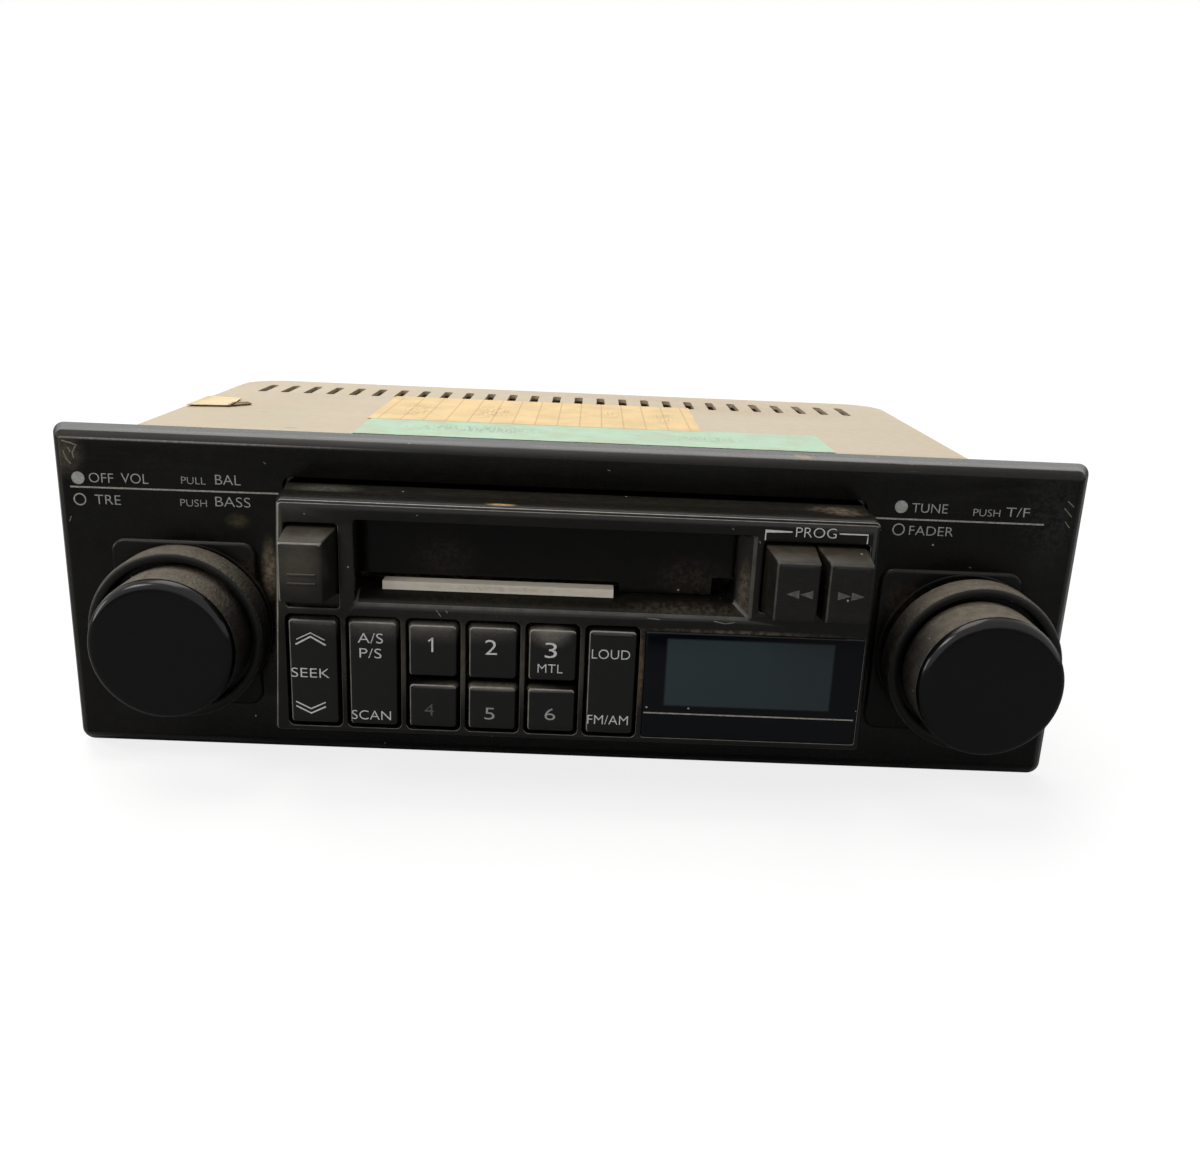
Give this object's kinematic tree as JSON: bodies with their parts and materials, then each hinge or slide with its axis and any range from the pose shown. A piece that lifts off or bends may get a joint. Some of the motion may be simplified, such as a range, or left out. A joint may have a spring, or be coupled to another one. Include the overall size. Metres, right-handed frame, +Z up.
{
  "type": "car cassette stereo",
  "caption": "Two-shaft car radio and cassette player with a wide trim plate, a nosepiece with tape slot, keys and display, double knobs and a vented steel chassis.",
  "frame": {"origin": "middle of the unit's footprint, at the height of the trim plate's lower edge", "axes": "+X to the right seen from the front, +Y from the front to the back, +Z up"},
  "size_m": [0.188, 0.1618, 0.0622],
  "materials": {
    "plated_steel": "satin plated steel sheet",
    "bright_steel": "bright steel",
    "brass": "machined brass",
    "black_plastic": "satin black plastic",
    "gloss_black": "glossy black plastic",
    "knob_grey": "fine-grained dark grey plastic",
    "smoked_window": "glossy smoked plastic",
    "door_brown": "smoked brown plastic",
    "display": "display glass",
    "nylon_white": "white nylon",
    "circuit_green": "circuit board",
    "circuit_brown": "paper circuit board",
    "black_rubber": "black rubber",
    "motor_case": "zinc-plated case",
    "amplifier_black": "moulded black"
  },
  "bodies": {
    "unit": {"chassis_frame": "plated_steel", "top_cover": "plated_steel", "bottom_cover": "plated_steel", "cover_screws": "bright_steel", "trim_plate": "black_plastic", "left_adapter": "black_plastic", "right_adapter": "black_plastic", "shaft_nuts": "brass", "nose_piece": "black_plastic", "display_window": "smoked_window", "display_panel": "display", "front_board": "circuit_brown", "door_pin": "bright_steel", "cassette_guide": "nylon_white", "carriage_spring": "bright_steel", "deck_plate": "plated_steel", "drive_motor": "motor_case", "drive_belt": "black_rubber", "main_board": "circuit_green", "power_amplifier": "amplifier_black", "antenna_socket": "bright_steel", "cable_grommet": "black_rubber", "rear_stud": "bright_steel", "volume_control": "bright_steel", "tuning_control": "bright_steel"},
    "volume_turner": {"volume_rotor": "nylon_white"},
    "volume_plunger": {"volume_shaft": "bright_steel", "volume_knob": "knob_grey"},
    "tone_turner": {"tone_rotor": "nylon_white"},
    "tone_plunger": {"tone_shaft": "bright_steel", "tone_ring": "knob_grey"},
    "tuning_turner": {"tuning_rotor": "nylon_white"},
    "tuning_plunger": {"tuning_shaft": "bright_steel", "tuning_knob": "knob_grey"},
    "fader_turner": {"fader_shaft": "bright_steel", "fader_ring": "knob_grey"},
    "eject_key": {"eject_button": "black_plastic"},
    "rewind_key": {"rewind_button": "black_plastic"},
    "forward_key": {"forward_button": "black_plastic"},
    "seek_key": {"seek_rocker": "gloss_black"},
    "scan_key": {"scan_rocker": "gloss_black"},
    "band_key": {"band_rocker": "gloss_black"},
    "preset_key_1": {"preset_button_1": "gloss_black"},
    "preset_key_2": {"preset_button_2": "gloss_black"},
    "preset_key_3": {"preset_button_3": "gloss_black"},
    "preset_key_4": {"preset_button_4": "gloss_black"},
    "preset_key_5": {"preset_button_5": "gloss_black"},
    "preset_key_6": {"preset_button_6": "gloss_black"},
    "door": {"cassette_door": "door_brown"},
    "carriage": {"cassette_carriage": "bright_steel"},
    "head_slider": {"head_plate": "bright_steel", "tape_head": "bright_steel"},
    "front_roller": {"front_pinch_roller": "black_rubber"},
    "rear_roller": {"rear_pinch_roller": "black_rubber"},
    "front_wheel": {"front_flywheel": "brass"},
    "rear_wheel": {"rear_flywheel": "brass"},
    "motor_rotor": {"motor_pulley": "brass"},
    "front_reel": {"front_spindle": "nylon_white"},
    "rear_reel": {"rear_spindle": "nylon_white"}
  },
  "joints": [
    {"name": "volume_turn", "type": "hinge", "parent": "unit", "child": "volume_turner", "pos_m": [-0.0681, -0.0601, 0.0281], "axis": [0, 1, 0], "range_deg": [0, 300]},
    {"name": "volume_pull", "type": "slide", "parent": "volume_turner", "child": "volume_plunger", "axis": [0, -1, 0], "range_m": [0, 0.0025]},
    {"name": "tone_turn", "type": "hinge", "parent": "unit", "child": "tone_turner", "pos_m": [-0.0681, -0.0601, 0.0281], "axis": [0, 1, 0], "range_deg": [-140, 140]},
    {"name": "tone_push", "type": "slide", "parent": "tone_turner", "child": "tone_plunger", "axis": [0, 1, 0], "range_m": [0, 0.0015], "stiffness_N_per_m": 400, "springref_m": -0.002},
    {"name": "tune_turn", "type": "hinge", "parent": "unit", "child": "tuning_turner", "pos_m": [0.0716, -0.0601, 0.0281], "axis": [0, 1, 0], "continuous": true},
    {"name": "tune_push", "type": "slide", "parent": "tuning_turner", "child": "tuning_plunger", "axis": [0, 1, 0], "range_m": [0, 0.0015], "stiffness_N_per_m": 400, "springref_m": -0.002},
    {"name": "fader_turn", "type": "hinge", "parent": "unit", "child": "fader_turner", "pos_m": [0.0716, -0.0601, 0.0281], "axis": [0, 1, 0], "range_deg": [-140, 140]},
    {"name": "eject_press", "type": "slide", "parent": "unit", "child": "eject_key", "axis": [0, 1, 0], "range_m": [0, 0.0045], "stiffness_N_per_m": 250, "springref_m": -0.002},
    {"name": "rewind_press", "type": "slide", "parent": "unit", "child": "rewind_key", "axis": [0, 1, 0], "range_m": [0, 0.0045], "stiffness_N_per_m": 250, "springref_m": -0.002},
    {"name": "forward_press", "type": "slide", "parent": "unit", "child": "forward_key", "axis": [0, 1, 0], "range_m": [0, 0.0045], "stiffness_N_per_m": 250, "springref_m": -0.002},
    {"name": "seek_rock", "type": "hinge", "parent": "unit", "child": "seek_key", "pos_m": [-0.0421, -0.0715, 0.0258], "axis": [1, 0, 0], "range_deg": [-3, 3], "stiffness_Nm_per_rad": 0.02},
    {"name": "scan_rock", "type": "hinge", "parent": "unit", "child": "scan_key", "pos_m": [-0.0321, -0.0715, 0.0258], "axis": [1, 0, 0], "range_deg": [-3, 3], "stiffness_Nm_per_rad": 0.02},
    {"name": "band_rock", "type": "hinge", "parent": "unit", "child": "band_key", "pos_m": [0.0079, -0.0715, 0.0258], "axis": [1, 0, 0], "range_deg": [-3, 3], "stiffness_Nm_per_rad": 0.02},
    {"name": "preset_press_1", "type": "slide", "parent": "unit", "child": "preset_key_1", "axis": [0, 1, 0], "range_m": [0, 0.0008], "stiffness_N_per_m": 300, "springref_m": -0.001},
    {"name": "preset_press_2", "type": "slide", "parent": "unit", "child": "preset_key_2", "axis": [0, 1, 0], "range_m": [0, 0.0008], "stiffness_N_per_m": 300, "springref_m": -0.001},
    {"name": "preset_press_3", "type": "slide", "parent": "unit", "child": "preset_key_3", "axis": [0, 1, 0], "range_m": [0, 0.0008], "stiffness_N_per_m": 300, "springref_m": -0.001},
    {"name": "preset_press_4", "type": "slide", "parent": "unit", "child": "preset_key_4", "axis": [0, 1, 0], "range_m": [0, 0.0008], "stiffness_N_per_m": 300, "springref_m": -0.001},
    {"name": "preset_press_5", "type": "slide", "parent": "unit", "child": "preset_key_5", "axis": [0, 1, 0], "range_m": [0, 0.0008], "stiffness_N_per_m": 300, "springref_m": -0.001},
    {"name": "preset_press_6", "type": "slide", "parent": "unit", "child": "preset_key_6", "axis": [0, 1, 0], "range_m": [0, 0.0008], "stiffness_N_per_m": 300, "springref_m": -0.001},
    {"name": "door_swing", "type": "hinge", "parent": "unit", "child": "door", "pos_m": [-0.004, -0.0687, 0.0531], "axis": [1, 0, 0], "range_deg": [0, 90], "stiffness_Nm_per_rad": 0.0004, "springref_deg": -17.19},
    {"name": "carriage_drop", "type": "slide", "parent": "unit", "child": "carriage", "axis": [0, 0, -1], "range_m": [0, 0.007], "stiffness_N_per_m": 150, "springref_m": -0.009, "deforming": ["carriage_spring"]},
    {"name": "head_slide", "type": "slide", "parent": "unit", "child": "head_slider", "axis": [-1, 0, 0], "range_m": [0, 0.0064]},
    {"name": "front_flywheel_spin", "type": "hinge", "parent": "unit", "child": "front_wheel", "pos_m": [0.0206, -0.0309, 0.0311], "axis": [0, 0, 1], "continuous": true},
    {"name": "rear_flywheel_spin", "type": "hinge", "parent": "unit", "child": "rear_wheel", "pos_m": [0.0206, 0.0151, 0.0311], "axis": [0, 0, 1], "continuous": true},
    {"name": "motor_spin", "type": "hinge", "parent": "unit", "child": "motor_rotor", "pos_m": [0.05, 0.0459, 0.0311], "axis": [0, 0, 1], "continuous": true},
    {"name": "front_spindle_spin", "type": "hinge", "parent": "unit", "child": "front_reel", "pos_m": [-0.0068, -0.02915, 0.0311], "axis": [0, 0, 1], "continuous": true},
    {"name": "rear_spindle_spin", "type": "hinge", "parent": "unit", "child": "rear_reel", "pos_m": [-0.0068, 0.01335, 0.0311], "axis": [0, 0, 1], "continuous": true},
    {"name": "front_roller_spin", "type": "hinge", "parent": "head_slider", "child": "front_roller", "pos_m": [0.0326, -0.0309, 0.0311], "axis": [0, 0, 1], "continuous": true},
    {"name": "rear_roller_spin", "type": "hinge", "parent": "head_slider", "child": "rear_roller", "pos_m": [0.0326, 0.0151, 0.0311], "axis": [0, 0, 1], "continuous": true}
  ],
  "couplings": [
    {"joint": "head_slide", "follows": "carriage_drop", "ratio": 0.91429},
    {"joint": "motor_spin", "follows": "front_flywheel_spin", "ratio": 3.875},
    {"joint": "rear_flywheel_spin", "follows": "front_flywheel_spin", "ratio": -1}
  ]
}
